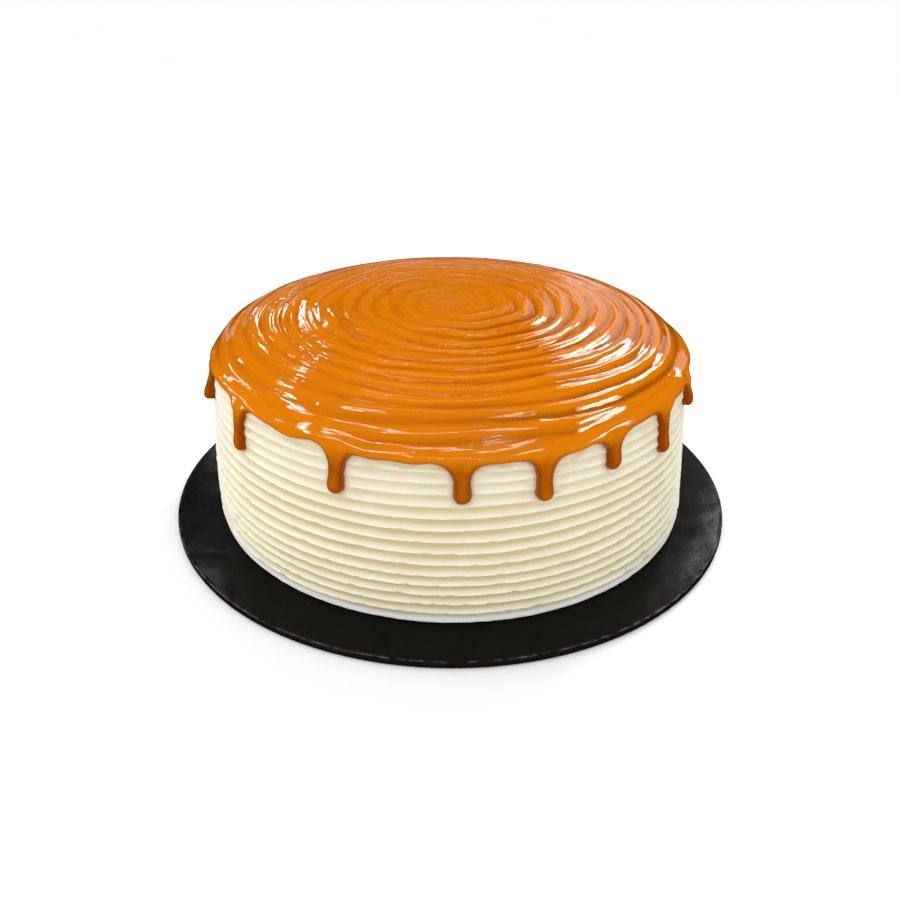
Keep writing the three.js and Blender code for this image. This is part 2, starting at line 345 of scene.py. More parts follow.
class Wire:
    """A socket that can be used in sums. Every sign in an expression adds a Math node."""

    def __init__(self, nodes, socket):
        self.nodes = nodes
        self.socket = socket

    def sum(self, operation, *values):
        return self.nodes.node("ShaderNodeMath", {"operation": operation}, dict(enumerate(values)))

    def __add__(self, other):
        return self.sum("ADD", self, other)

    def __mul__(self, other):
        return self.sum("MULTIPLY", self, other)

    def __sub__(self, other):
        return self.sum("SUBTRACT", self, other)

    def __rsub__(self, other):
        return self.sum("SUBTRACT", other, self)

    def __pow__(self, other):
        return self.sum("POWER", self, other)

    __radd__ = __add__
    __rmul__ = __mul__

    def kept(self):
        """Held between 0 and 1."""
        made = self.sum("ADD", self, 0.0)
        made.socket.node.use_clamp = True
        return made


class Nodes:
    """A node tree that is being put together."""

    def __init__(self, tree):
        self.tree = tree

    def node(self, kind, settings=None, inputs=None, output=0):
        made = self.tree.nodes.new(kind)
        for key, value in (settings or {}).items():
            setattr(made, key, value)
        for socket, value in (inputs or {}).items():
            if isinstance(value, Wire):
                self.tree.links.new(value.socket, made.inputs[socket])
            else:
                made.inputs[socket].default_value = value
        return Wire(self, made.outputs[output])


class Finish(Nodes):
    """A material that is being put together, and its Principled shader."""

    def __init__(self, name, **constants):
        self.material = bpy.data.materials.new(name)
        self.material.use_nodes = True
        super().__init__(self.material.node_tree)
        self.shader = self.tree.nodes["Principled BSDF"]
        for socket, value in constants.items():
            self.shader.inputs[socket.replace("_", " ")].default_value = value

    def feed(self, socket, wire):
        self.tree.links.new(wire.socket, self.shader.inputs[socket])

    def where(self):
        return self.node("ShaderNodeTexCoord", output="Object")

    def place(self, scale):
        """Object coordinates, stretched so that one unit is 1 / scale metres."""
        return self.node("ShaderNodeVectorMath", {"operation": "MULTIPLY"}, {
            0: self.where(), 1: scale})

    def grain(self, where, detail=3.0, roughness=0.5):
        return self.node("ShaderNodeTexNoise", {}, {
            "Vector": where, "Scale": 1.0, "Detail": detail, "Roughness": roughness})

    def painted(self, name):
        return self.node("ShaderNodeAttribute", {"attribute_name": name}, output="Fac")

    def blend(self, share, first, second):
        """Two colours mixed; share is 0 for the first and 1 for the second."""
        return self.node("ShaderNodeMix", {"data_type": "RGBA"}, {
            0: share, 6: first, 7: second}, output=2)

    def relief(self, height, distance, strength, below=None):
        inputs = {"Height": height, "Distance": distance, "Strength": strength}
        if below:
            inputs["Normal"] = below
        return self.node("ShaderNodeBump", {}, inputs)

    def round_the_cake(self, along, across):
        """Coordinates that run round the cake: streaks are long round it and short across."""
        where = self.where()
        x, y, z = [self.node("ShaderNodeSeparateXYZ", {}, {0: where}, output=axis)
                   for axis in range(3)]
        x = x - CAKE_AXIS_X * MM
        y = y - CAKE_AXIS_Y * MM
        radius = (x * x + y * y) ** 0.5
        turn = self.node("ShaderNodeVectorMath", {"operation": "NORMALIZE"}, {
            0: self.node("ShaderNodeCombineXYZ", {}, {0: x, 1: y, 2: 0.0})})
        round_it = self.node("ShaderNodeVectorMath", {"operation": "SCALE"}, {
            0: turn, "Scale": along})
        out = self.node("ShaderNodeCombineXYZ", {}, {0: radius * across, 2: z * across})
        return self.node("ShaderNodeVectorMath", {"operation": "ADD"}, {0: round_it, 1: out})


def colour(red, green, blue):
    return (red, green, blue, 1.0)


WHIPPED_CREAM = colour(0.87, 0.825, 0.70)
CREAM_SHADED_IN_GROOVES = colour(0.655, 0.56, 0.29)
CREAM_LIT_AT_FOOT = colour(0.97, 0.965, 0.95)
CREAM_STAINED_AND_SHADED = colour(0.74, 0.50, 0.24)
CREAM_SOAKED_AND_SHADED = colour(0.48, 0.27, 0.08)
CARAMEL_BRIGHT = colour(0.70, 0.194, 0.0008)
CARAMEL_DEEP = colour(0.35, 0.072, 0.0005)
CARAMEL_EDGE_SHADE = colour(0.24, 0.04, 0.0003)
FOIL_BLACK = colour(0.0045, 0.004, 0.003)
FOIL_WORN = colour(0.0085, 0.0078, 0.0065)
FOIL_EDGE_HIGHLIGHT = colour(0.10, 0.108, 0.13)
PAPER = (colour(0.93, 0.937, 0.95), colour(0.95, 0.957, 0.97))


def cream_finish():
    """Whipped buttercream: satin, with painted shade that makes it darker and yellower down in the
    comb's grooves, a caramel tint with painted brown shade beside the caramel, and a painted paler
    band at the bottom.
    """
    cream = Finish("combed_cream", Subsurface_Weight=0.25, Subsurface_Scale=0.004,
                   Subsurface_Radius=(1.0, 0.75, 0.4), IOR=1.42, Specular_IOR_Level=0.25)
    groove = cream.painted("groove")
    clouds = cream.grain(cream.place((60, 60, 120)), detail=4.0)
    streaks = cream.grain(cream.round_the_cake(9, 1600))
    # Painted shade: darker and yellower down in the grooves, with random tone from two noises.
    groove_shade_and_tone = groove ** 1.4 * 1.2 + clouds * 0.45 + streaks * 0.4 - 0.44
    # Painted shade with a brown caramel tint beside the caramel, in patches.
    stain_and_shade = cream.painted("stain_and_shade") * (0.35 + clouds * 0.9)
    base = cream.blend(groove_shade_and_tone.kept(), WHIPPED_CREAM, CREAM_SHADED_IN_GROOVES)
    # Painted light: the lowest ridge is made paler, against the shade over the black board.
    base = cream.blend(cream.painted("painted_foot_light"), base, CREAM_LIT_AT_FOOT)
    base = cream.blend(stain_and_shade.kept(), base, CREAM_STAINED_AND_SHADED)
    # Painted contact shade, with caramel seeping in, in a thin band along the caramel's outline.
    base = cream.blend(cream.painted("seep_and_shade") * 0.7, base, CREAM_SOAKED_AND_SHADED)
    cream.feed("Base Color", base)
    cream.feed("Roughness", 0.38 + streaks * 0.2 + groove * 0.1)
    pores = cream.grain(cream.place((900, 900, 900)), detail=2.0)
    lines = cream.relief(streaks, 0.35 * MM, 0.6)
    cream.feed("Normal", cream.relief(pores, 0.1 * MM, 0.35, lines))
    return cream.material


def caramel_finish():
    """Thick wet caramel: glossy, a little see-through, with painted shade that makes it deeper
    where it runs down, in the swirl's valleys and along its outline, and a painted lighter band
    along the lip.
    """
    caramel = Finish("caramel", Subsurface_Weight=0.12, Subsurface_Scale=0.003,
                     Subsurface_Radius=(1.0, 0.35, 0.05), IOR=1.47, Specular_IOR_Level=0.5)
    clouds = caramel.grain(caramel.place((35, 35, 35)))
    streaks = caramel.grain(caramel.round_the_cake(5, 420), detail=4.0)
    # Painted shade, with thicker caramel: darker in the swirl's valleys, away from the crests.
    valley_shade_and_thickness = (1.0 - caramel.painted("crest")) ** 3.0
    scored = caramel.painted("scored")
    # Painted shade: darker where the caramel runs down the drips; the noises add random tone.
    deep = caramel.painted("run") * 0.8 + valley_shade_and_thickness + scored * 0.4 + clouds * 0.4 + streaks * 0.7
    base = caramel.blend((deep - 0.53).kept(), CARAMEL_BRIGHT, CARAMEL_DEEP)
    # Painted shade: darkest along the caramel's outline, on the drips' flanks and under the lip.
    base = caramel.blend(caramel.painted("edge_shade") * 0.85, base, CARAMEL_EDGE_SHADE)
    caramel.feed("Base Color", base)
    caramel.feed("Roughness", 0.03 + clouds * 0.07)
    strokes = caramel.relief(1.0 - scored, 0.2 * MM, 0.4)
    caramel.feed("Normal", caramel.relief(streaks, 0.6 * MM, 0.4, strokes))
    return caramel.material


def foil_finish():
    """Black embossed foil over card, glossy, with faint wrinkles and a painted highlight along the
    top of its rim.
    """
    foil = Finish("board_foil", IOR=1.45, Specular_IOR_Level=0.045)
    wrinkles = foil.grain(foil.place((60, 60, 60)), detail=4.0, roughness=0.55)
    emboss = foil.grain(foil.place((380, 1500, 1500)), detail=2.0)
    highlight_gaps = foil.grain(foil.place((240, 240, 900)))
    # Painted highlight: a thin bluish line along the top of the rim, broken by a noise.
    rubbed = foil.painted("edge") * (highlight_gaps * 5.0 - 2.1).kept()
    base = foil.blend(wrinkles, FOIL_BLACK, FOIL_WORN)
    foil.feed("Base Color", foil.blend(rubbed.kept(), base, FOIL_EDGE_HIGHLIGHT))
    foil.feed("Roughness", 0.10 + wrinkles * 0.10)
    creases = foil.relief(wrinkles, 1.2 * MM, 0.12)
    foil.feed("Normal", foil.relief(emboss, 0.12 * MM, 0.2, creases))
    return foil.material


# --- cake board --------------------------------------------------------------------------------

BOARD_EDGE_ROUNDING = 0.8
BOARD_EDGE_STEPS = 5
BOARD_COLUMNS = 480
HEM_RADIUS = 110.5
HEM_THICKNESS = 0.2
# The foil is uneven from here outwards. Further in, it lies flat under the cake.
FLAT_RADIUS = 99
CRUMPLES = (9, 3)
FINE_CRUMPLES = (3.5, 4)
RIM_DENTS = ((5, 5, 1.2), 5)
PLEATS = (4, 6)
CRUMPLE_DEPTH = 0.05
RIM_DENT_DEPTH = 0.09
PLEAT_HEIGHT = 0.16


def make_board():
    """Card wrapped in foil: rounded edge, and underneath the folded hem of the foil."""
    rounding = BOARD_EDGE_ROUNDING
    profile = [(0, HEM_THICKNESS), (60, HEM_THICKNESS), (109, HEM_THICKNESS), (110, 0.15)]
    profile += [(HEM_RADIUS, 0)] + [(radius, 0) for radius in range(112, 126, 2)]
    for centre, start in ((rounding, -0.5), (BOARD_THICKNESS - rounding, 0)):
        for step in range(BOARD_EDGE_STEPS + 1):
            turn = math.pi * (start + 0.5 * step / BOARD_EDGE_STEPS)
            profile.append((BOARD_RADIUS - rounding + rounding * math.cos(turn),
                            centre + rounding * math.sin(turn)))
    profile += [(radius, BOARD_THICKNESS) for radius in np.arange(125.2, FLAT_RADIUS - 1, -1.6)]
    profile += [(60, BOARD_THICKNESS), (0, BOARD_THICKNESS)]
    board = spun("board", profile, BOARD_COLUMNS)
    radius, angle, height = places_of(board)
    places = np.stack([radius * np.cos(angle), radius * np.sin(angle), height], -1)
    crumple = rough(places, *CRUMPLES) + 0.5 * rough(places, *FINE_CRUMPLES)
    top = (height > BOARD_THICKNESS - 0.01) & (radius > FLAT_RADIUS)
    height = height - np.where(top, CRUMPLE_DEPTH * (crumple + 1), 0)
    rim = (radius > BOARD_RADIUS - 0.7) & (height > 0.3) & (height < BOARD_THICKNESS - 0.3)
    radius = radius - np.where(rim, RIM_DENT_DEPTH * (1 + rough(places, *RIM_DENTS)), 0)
    hem = (height < 0.01) & (radius > HEM_RADIUS + 0.5)
    pleats = np.abs(rough(places, *PLEATS)) * np.clip((125 - radius) / 6, 0, 1)
    height = height + np.where(hem, PLEAT_HEIGHT * pleats, 0)
    place(board, radius, angle, height)
    # Where the rim's painted highlight lies: along the top of the rounded edge.
    on_edge = hump(radius, BOARD_RADIUS - 0.5, 0.22)
    paint(board, "edge", on_edge * (height > BOARD_THICKNESS / 2))
    finish_piece(board, foil_finish(), "board_foil", "cake_board")


# --- cake in combed cream ----------------------------------------------------------------------

CREAM_COLUMNS = 540
ROWS_IN_GROOVE = (0.04, 0.11, 0.2, 0.31, 0.43, 0.55, 0.66, 0.76, 0.86, 0.94)
# Share of the full groove depth that the comb left, by height.
GROOVE_SHARES = ((2, 6, 42, 56), (0.45, 1, 1, 0.65))
FILLED_SHARE = 0.6
FILLED_REACH = 2
# The ridges' crests are torn and ragged, less so above this height.
TORN_HEIGHT = 42
TORN_FADE = 4
TORN_ABOVE = 0.35
CREST_REACH = 0.75
TEARS = ((3.5, 3.5, 3), 11)
TEARS_START = 0.12
TEAR_DEPTH = 0.8
RAGS = ((1.6, 1.6, 2), 12)
RAG_DEPTH = 0.12
RAG_RISE = 0.07
DRAG_LINES = ((26, 26, 1.1), 13)
DRAG_DEPTH = 0.11
LUMPS = ((14, 14, 4), 14)
LUMP_DEPTH = 0.08
SWAYS = ((22, 22, 5), 15)
SWAY_RISE = 0.12
FOOT_LUMPS = ((4, 4, 9), 16)
FOOT_HEIGHT = 2.2
FOOT_RIDGE_HEIGHT = 1.6
FOOT_RIDGE_WIDTH = 0.9
STAIN_AND_SHADE_PATCHES = ((7, 7, 1.5), 17)
STAIN_AND_SHADE_REACH = 4.5
STAIN_AND_SHADE_TURN = 0.012
SEEP_AND_SHADE_REACH = 1.1
FOOT_LIGHT_HEIGHT = 3.2
# Where a tooth of the comb left a second thin ridge that joins the next one:
# direction, half length in degrees, height and how far it climbs.
TONGUES = [
    (-38, 7, 33.0, 1.6), (-68, 6, 22.8, 1.2), (-62, 7, 20.4, -1.2), (-118, 9, 30.2, 0.8),
    (-104, 16, 6.6, 0.3), (-84, 10, 13.2, 0.9), (-132, 8, 16.4, -0.9), (-50, 9, 12.0, 1.0),
    (-20, 8, 24.6, 1.1), (20, 9, 15.6, -1.0), (64, 12, 29.4, 1.3), (110, 9, 20.2, 1.0),
    (150, 11, 11.6, -0.8), (176, 8, 34.4, 1.2),
]
TONGUE_HEIGHT = 0.75
TONGUE_WIDTH = 0.42
TONGUE_SHADE_DEPTH = 0.3
TONGUE_SHADE_WIDTH = 0.4
TONGUE_SHADE_DROP = 0.8


def cream_profile():
    profile = [(0, 0), (60, 0), (FOOT_RADIUS - 1, 0)]
    for low, high in zip(CRESTS, CRESTS[1:]):
        profile.append((FOOT_RADIUS, low))
        profile += [(FOOT_RADIUS, low + share * (high - low)) for share in ROWS_IN_GROOVE]
    profile.append((FOOT_RADIUS, CRESTS[-1]))
    depth = CARAMEL_THICKNESS + GAP
    profile += [(dome_radius(height, depth), height) for height in (76, 79.5)]
    profile += [(radius, dome_height(radius, depth)) for radius in (84, 58, 28, 0)]
    return profile


def make_cream():
    """The cake's own body, in cream that the comb drew into ridges while it turned."""
    cream = spun("cream", cream_profile(), CREAM_COLUMNS)
    radius, angle, height = places_of(cream)
    on_wall = np.abs(radius - FOOT_RADIUS) < 0.001
    moves = on_wall & (height > 0.1)
    ridge = np.clip(np.searchsorted(CRESTS, height + 1e-4) - 1, 0, len(CRESTS) - 2)
    pitch = CRESTS[ridge + 1] - CRESTS[ridge]
    share = (height - CRESTS[ridge]) / pitch
    filled = FILLED_SHARE * hump(caramel_inside(angle, height).clip(None, 0), 0, FILLED_REACH)
    depth = groove_depth(share) * np.interp(height, *GROOVE_SHARES) * (1 - filled)
    depth = np.where(on_wall & (height >= 0.01), depth, 0)
    to_crest = np.minimum(share, 1 - share) * pitch
    ridge_phase = RIDGE_PHASE * (ridge + share)
    wavered = height + np.where(moves, RIDGE_WANDER * waver(angle, ridge_phase), 0)

    # Hand-made unevenness, stronger lower down, where the comb dragged the cream.
    places = np.stack([105 * np.cos(angle), 105 * np.sin(angle), height], -1)
    low = TORN_ABOVE + (1 - TORN_ABOVE) / (1 + np.exp((height - TORN_HEIGHT) / TORN_FADE))
    at_crest = hump(to_crest, 0, CREST_REACH) * low
    torn = np.clip(rough(places, *TEARS) - TEARS_START, 0, None)
    ragged = rough(places, *RAGS)
    out = -at_crest * (TEAR_DEPTH * torn + RAG_DEPTH * ragged)
    out += DRAG_DEPTH * rough(places, *DRAG_LINES) * low + LUMP_DEPTH * rough(places, *LUMPS)
    up = RAG_RISE * at_crest * ragged + SWAY_RISE * rough(places, *SWAYS)
    for direction, half, tongue_height, climb in TONGUES:
        turned = degrees_between(angle, direction) / half
        line = tongue_height + climb * turned
        fade = np.clip(1 - turned ** 2, 0, 1) ** 0.7
        stands = TONGUE_HEIGHT * (0.3 + depth / GROOVE_DEPTH)
        under = hump(height, line - TONGUE_SHADE_DROP, TONGUE_SHADE_WIDTH)
        out += fade * stands * hump(height, line, TONGUE_WIDTH)
        out -= fade * TONGUE_SHADE_DEPTH * under
    out += hump(height, FOOT_RIDGE_HEIGHT, FOOT_RIDGE_WIDTH)
    out += np.clip(1 - height / FOOT_HEIGHT, 0, 1) * (0.35 * rough(places, *FOOT_LUMPS) - 0.15)
    wavered = wavered + np.where(moves, up * np.clip(height / 3, 0, 1), 0)
    drawn_in = (WALL_RADIUS - FOOT_RADIUS) * np.clip(1 - height / FIRST_CREST, 0, 1) ** 2
    wall = cream_radius(angle, wavered) - depth - drawn_in + out
    place(cream, np.where(on_wall, wall, radius), angle, wavered, CAKE_PLACE)

    # Painted shade with a brown caramel tint, fading away from the caramel and shifted a little
    # round the cake, in patches.
    stain_and_shade = np.exp(np.minimum(caramel_inside(angle - STAIN_AND_SHADE_TURN, wavered), 0) / STAIN_AND_SHADE_REACH)
    stain_and_shade *= np.clip(1.6 * rough(places, *STAIN_AND_SHADE_PATCHES) - 0.1, 0, 1)
    # Painted contact shade along the caramel's outline, with caramel seeping in.
    seep_and_shade = np.exp(np.minimum(caramel_inside(angle, wavered), 0) / SEEP_AND_SHADE_REACH)
    # Groove depth and torn crests, which the finish turns into painted shade and roughness.
    paint(cream, "groove", depth / GROOVE_DEPTH + 0.5 * np.clip(torn * at_crest, 0, 1))
    paint(cream, "stain_and_shade", np.where(on_wall, stain_and_shade, 0))
    paint(cream, "seep_and_shade", np.where(on_wall, seep_and_shade, 0))
    # Painted light that makes the lowest ridge paler.
    paint(cream, "painted_foot_light", np.where(on_wall, hump(wavered, 0, FOOT_LIGHT_HEIGHT), 0))
    finish_piece(cream, cream_finish(), "combed_cream", "cake")


# --- the swirl on the top ----------------------------------------------------------------------

SPIRAL_TURNS = 12
SPIRAL_START = 0.5
SPIRAL_RADIUS = 98
SPIRAL_POWER = 0.8
SPIRAL_CENTRE = (4, -2)
SPIRAL_RELIEF = 0.62
# The middle is calm: the ridges start this far out and are whole this much further.
MIDDLE_START = 6
MIDDLE_FADE = 24
CALM_RADIUS = 34
RUBBED_RADIUS = 60
# Noises that are drawn out into arcs: cells round the cake, steps to a turn of the spiral, seed.
SWINGS = (1.4, 0.34, 21)
STROKES = (1.5, 2.1, 22)
PRESSED = (1.6, 0.5, 23)
RIDGE_SIZES = (1.3, 0.7, 24)
THIN_LINES = (2.4, 4.4, 25)
# Noises on the flat: size and seed.
BUMPS = (11, 26)
FINE_BUMPS = (3, 27)
# The ridges are highest where the spatula came round, at this direction.
HIGHEST_DIRECTION = -32
BACK_TURN = 15
RIDGE_HEIGHT = 1.35
RIDGE_SHARPNESS = 1.7
RIDGE_MIDDLE = 0.32
DOUBLED_HEIGHT = 0.3
DOUBLED_PHASE = 1.9
DOUBLED_SWING = 2.5
SWING_SHARE = 0.34
SCORE_LEVEL = -0.22
SCORE_WIDTH = 0.06
LIFT = 0.5
# Specks and burst bubbles that stand up on the top.
SPECKS = [
    (-29, -43), (-57, -45), (-51, -64), (-46, -82), (-33, -95), (10, -91), (12, -94), (30, -91),
    (31, -94), (9, -98), (-15, -98), (-5, -87), (62, 28), (-20, 66), (44, 70), (-70, 40),
]
SPECK_HEIGHT = 0.32
SPECK_WIDTH = math.sqrt(2)


def spiral_relief(radius, angle):
    """Ridges that the spatula left on the top: one long spiral, doubled and broken by hand.

    Gives the height in mm and, from 0 to 1, how near a place lies to a ridge's crest and to a
    line that the spatula scored.
    """
    x, y = radius * np.cos(angle), radius * np.sin(angle)
    share = np.clip(np.hypot(x, y) / SPIRAL_RADIUS, 0, 1.2) ** (1 / SPIRAL_POWER)
    for _ in range(4):
        shift = np.clip(1 - share ** 2, 0, 1)
        from_x, from_y = x - SPIRAL_CENTRE[0] * shift, y - SPIRAL_CENTRE[1] * shift
        reach = np.hypot(from_x, from_y)
        share = np.clip(reach / SPIRAL_RADIUS, 0, 1.2) ** (1 / SPIRAL_POWER)
    turned = np.arctan2(from_y, from_x)
    across = SPIRAL_TURNS * share

    def brushed(arcs, steps, seed, lean=0):
        return rough(np.stack([
            arcs * np.cos(turned), arcs * np.sin(turned), across * steps + lean], -1), 1, seed)

    calm = np.clip(reach / CALM_RADIUS, 0, 1)
    middle = np.clip((reach - MIDDLE_START) / MIDDLE_FADE, 0, 1) ** 0.8
    slow = brushed(*SWINGS)
    phase = math.tau * (
        across - SPIRAL_START - turned / math.tau + SWING_SHARE * slow * calm)
    ridge = 0.5 + 0.5 * np.cos(phase)
    strokes = brushed(*STROKES, 0.9 * slow)
    thin = brushed(*THIN_LINES, 1.4 * slow)
    lined = np.clip(0.6 + 0.9 * brushed(*PRESSED), 0, 1)
    rubbed = lined * np.clip(reach / RUBBED_RADIUS, 0.4, 1)
    from_left = 0.5 - 0.5 * np.cos(turned)
    near_highest = 0.5 + 0.5 * np.cos(turned - math.radians(HIGHEST_DIRECTION))
    back = np.clip(1.3 * np.sin(turned + math.radians(BACK_TURN)), 0, 1)
    size = np.clip(0.16 + 0.85 * near_highest ** 3 + 0.35 * brushed(*RIDGE_SIZES), 0.08, 1.15)
    size = size * (1 - 0.62 * back)

    height = RIDGE_HEIGHT * size * (ridge ** RIDGE_SHARPNESS - RIDGE_MIDDLE)
    height += (1.0 + 0.1 * size) * rubbed * strokes
    height += DOUBLED_HEIGHT * size * lined * np.cos(
        2 * phase + DOUBLED_PHASE + DOUBLED_SWING * slow)
    height = middle * SPIRAL_RELIEF * (1 - 0.45 * back) * height + 0.15 * slow * calm
    fine = (0.2 + 0.22 * from_left ** 1.5) * (1 - 0.45 * back)
    height += fine * thin * np.clip((reach - 12) / 50, 0, 1)
    flat = np.stack([x, y, np.zeros_like(x)], -1)
    height += 0.12 * rough(flat, *BUMPS) * calm
    height += 0.05 * from_left * rough(flat, *FINE_BUMPS) * calm
    for speck_x, speck_y in SPECKS:
        height += SPECK_HEIGHT * hump(np.hypot(x - speck_x, y - speck_y), 0, SPECK_WIDTH)
    crest = 0.5 + middle * np.clip(0.25 + 0.7 * size, 0, 1) * (ridge - 0.5)
    scored = middle * lined * hump(strokes, SCORE_LEVEL, SCORE_WIDTH)
    return height + LIFT, crest, scored * np.clip((96 - reach) / 14, 0, 1)


# --- caramel -----------------------------------------------------------------------------------

# The top is made of rings that grow coarser inwards: where they start and end, rows, columns.
SIDE_START = 94
RING_START = 44
RINGS = ((RING_START, SIDE_START - 1, 64, 480), (0, RING_START - 1, 52, 240))
SIDE_COLUMNS = 720
SIDE_STEP = 0.62
WALL_STEP = 0.55
WALL_TOP = 70
DRIPS_END = 47.4
CROWDING = 2.4
CROWDING_REACH = 2.9
TRIM_BELOW = -1.1
UNDERSIDE_SHARE = 0.15

# The rolled lip: how high its bead stands, how far up its middle lies, and the hollow above it.
ROLLED_BY_HAND = (16, 7)
BEAD_SWINGS = (22, 8)
BEAD_RISE = 3.4
BEAD_SWING = 0.9
BEAD_HEIGHT = 0.8
BEAD_SPREAD = 1.6
HOLLOW_DEPTH = 0.34
HOLLOW_RISE = 3
# The lip is drawn in below the shoulder, and the shoulder leans to one side.
DRAWN_IN = 0.9
DRAWN_IN_FROM = 14
DRAWN_IN_FADE = 4
LEAN = 1.5
LEAN_HEIGHT = 77.5
LEAN_SPREAD = 5
# A drip swells at its end and has a dent under its root.
DRIP_RELIEF = 0.8
SWELL_WIDTH = 2.6
SWELL_SPREAD = 2.4
DENT_WIDTH = 2.1
DENT_DROP = 2.5
DENT_SPREAD = 2.8
DRIP_FLANK = 2.9


def length_down(profile):
    """Distance along a profile from its first point to each of its points."""
    return np.concatenate([[0], np.cumsum(np.hypot(*np.diff(profile, axis=0).T))])


def side_profile():
    """From the top's rim over the shoulder and down the wall, evenly stepped."""
    dense = [(radius, dome_height(radius, 0)) for radius in np.linspace(SIDE_START, 100.4, 60)]
    dense += [(dome_radius(height, 0), height)
              for height in np.linspace(dense[-1][1], WALL_TOP, 60)[1:]]
    dense = np.array(dense)
    length = length_down(dense)
    even = np.linspace(0, length[-1], int(length[-1] / SIDE_STEP))
    profile = list(zip(np.interp(even, length, dense[:, 0]), np.interp(even, length, dense[:, 1])))
    for height in np.arange(WALL_TOP - WALL_STEP, DRIPS_END, -WALL_STEP):
        profile.append((WALL_RADIUS - WALL_TAPER * height + LIP_THICKNESS, height))
    return profile


def crowded(angle):
    """Draws the mesh's columns together where drips hang."""
    steps = np.linspace(-np.pi, np.pi, 7201)
    density = np.ones_like(steps)
    for direction, _, _ in DRIPS:
        density += CROWDING * np.exp(-(degrees_between(steps, direction) / CROWDING_REACH) ** 4)
    total = np.concatenate([[0], np.cumsum((density[1:] + density[:-1]) / 2)])
    return np.interp((angle + np.pi) / math.tau, total / total[-1], steps)


def inside_of_skin(radius, angle, height, rule=caramel_inside):
    """The rule's distance for points of the plain profile, measured along it over the shoulder."""
    profile = np.array(side_profile())
    length = length_down(profile)
    level = np.interp(EDGE_HEIGHT, profile[::-1, 1], length[::-1])
    run_down = np.interp(-height, -profile[:, 1], length)
    inside = np.full_like(radius, 30.0)
    side = (radius >= SIDE_START - 0.01) | (height < EDGE_HEIGHT)
    inside[side] = rule(angle[side], EDGE_HEIGHT + level - run_down[side])
    return inside


def skin_shape(radius, angle, height):
    """Where the caramel's outside lies, for a point of the plain dome and wall."""
    inside = inside_of_skin(radius, angle, height)
    skin = np.clip(inside / BEAD_WIDTH, 0, 1)
    thick = LIP_THICKNESS * (1 - (1 - skin) ** 2) ** 0.5
    thick = np.where(inside < 0, np.maximum(6 * inside, -3.0), thick)
    places = np.stack([radius * np.cos(angle), radius * np.sin(angle), height], -1)
    rolled = np.clip(0.9 + 0.7 * rough(places, *ROLLED_BY_HAND), 0.35, 1.3)
    above_crown = inside_of_skin(radius, angle, height, edge_inside)
    above_crown -= BEAD_RISE + BEAD_SWING * rough(places, *BEAD_SWINGS)
    bead = BEAD_HEIGHT * hump(above_crown, 0, BEAD_SPREAD)
    bead -= HOLLOW_DEPTH * hump(above_crown, HOLLOW_RISE, BEAD_SPREAD)
    drawn_in = DRAWN_IN / (1 + np.exp((inside - DRAWN_IN_FROM) / DRAWN_IN_FADE))
    lean = LEAN * np.cos(angle) * hump(height, LEAN_HEIGHT, LEAN_SPREAD)
    hanging = 0
    for _, across, root, tip, long_drip, stout in drip_distances(angle, height):
        dent = hump(across, 0, DENT_WIDTH) * hump(height - root, -DENT_DROP, DENT_SPREAD)
        swell = hump(across, 0, SWELL_WIDTH) * hump(height - tip, DRIP_END_HEIGHT, SWELL_SPREAD)
        down = np.clip((root - height) / (root - tip), 0, 1.2)
        hanging += DRIP_RELIEF * long_drip * (0.9 * swell - dent)
        hanging += stout * down * np.exp(-(across / DRIP_FLANK) ** 4)
    side = thick - LIP_THICKNESS + np.where(inside > 0, rolled * bead + hanging, 0)
    side -= drawn_in * np.clip(inside / 4, 0, 1) + lean
    side += wall_wander(angle, height) * (height < WANDER_TOP)
    relief, *_ = spiral_relief(radius, angle)
    return radius + side, height + relief * np.clip((inside - 5) / 5, 0, 1)


def skin_underside(radius, height):
    """Where the caramel's underside lies: on the cream on top, and just inside it on the wall."""
    out = DOME_SIDE_POWER / DOME_RIM * (radius / DOME_RIM).clip(0, 1) ** (DOME_SIDE_POWER - 1)
    rise = (height - DOME_SPRING).clip(0) / (DOME_TOP - DOME_SPRING)
    up = DOME_TOP_POWER / (DOME_TOP - DOME_SPRING) * rise ** (DOME_TOP_POWER - 1)
    up = np.where(height > WALL_TOP - 0.1, up, 0)
    length = np.hypot(out, up)
    depth = np.interp(height, (75, 81), (LIP_THICKNESS + 3.6, CARAMEL_THICKNESS))
    return radius - depth * out / length, height - depth * up / length


def make_sheet():
    """The caramel as an open sheet over the plain dome and wall, cut to its outline."""
    caramel = spun("caramel", side_profile(), SIDE_COLUMNS)
    radius, angle, height = places_of(caramel)
    warp = np.clip((radius - SIDE_START - 1) / 7, 0, 1) ** 1.5
    place(caramel, radius, angle + warp * (crowded(angle) - angle), height)
    rings = []
    for start, end, rows, columns in RINGS:
        profile = [(radius, dome_height(radius, 0)) for radius in np.linspace(start, end, rows)]
        rings.append(spun("caramel_ring", profile, columns))
    nothing_selected()
    for part in (*rings, caramel):
        part.select_set(True)
    bpy.context.view_layer.objects.active = caramel
    bpy.ops.object.join()
    for start in (RING_START, SIDE_START):
        bridge_rings(caramel, start - 1, start)
    trim(caramel, inside_of_skin(*places_of(caramel)) < TRIM_BELOW)
    return caramel


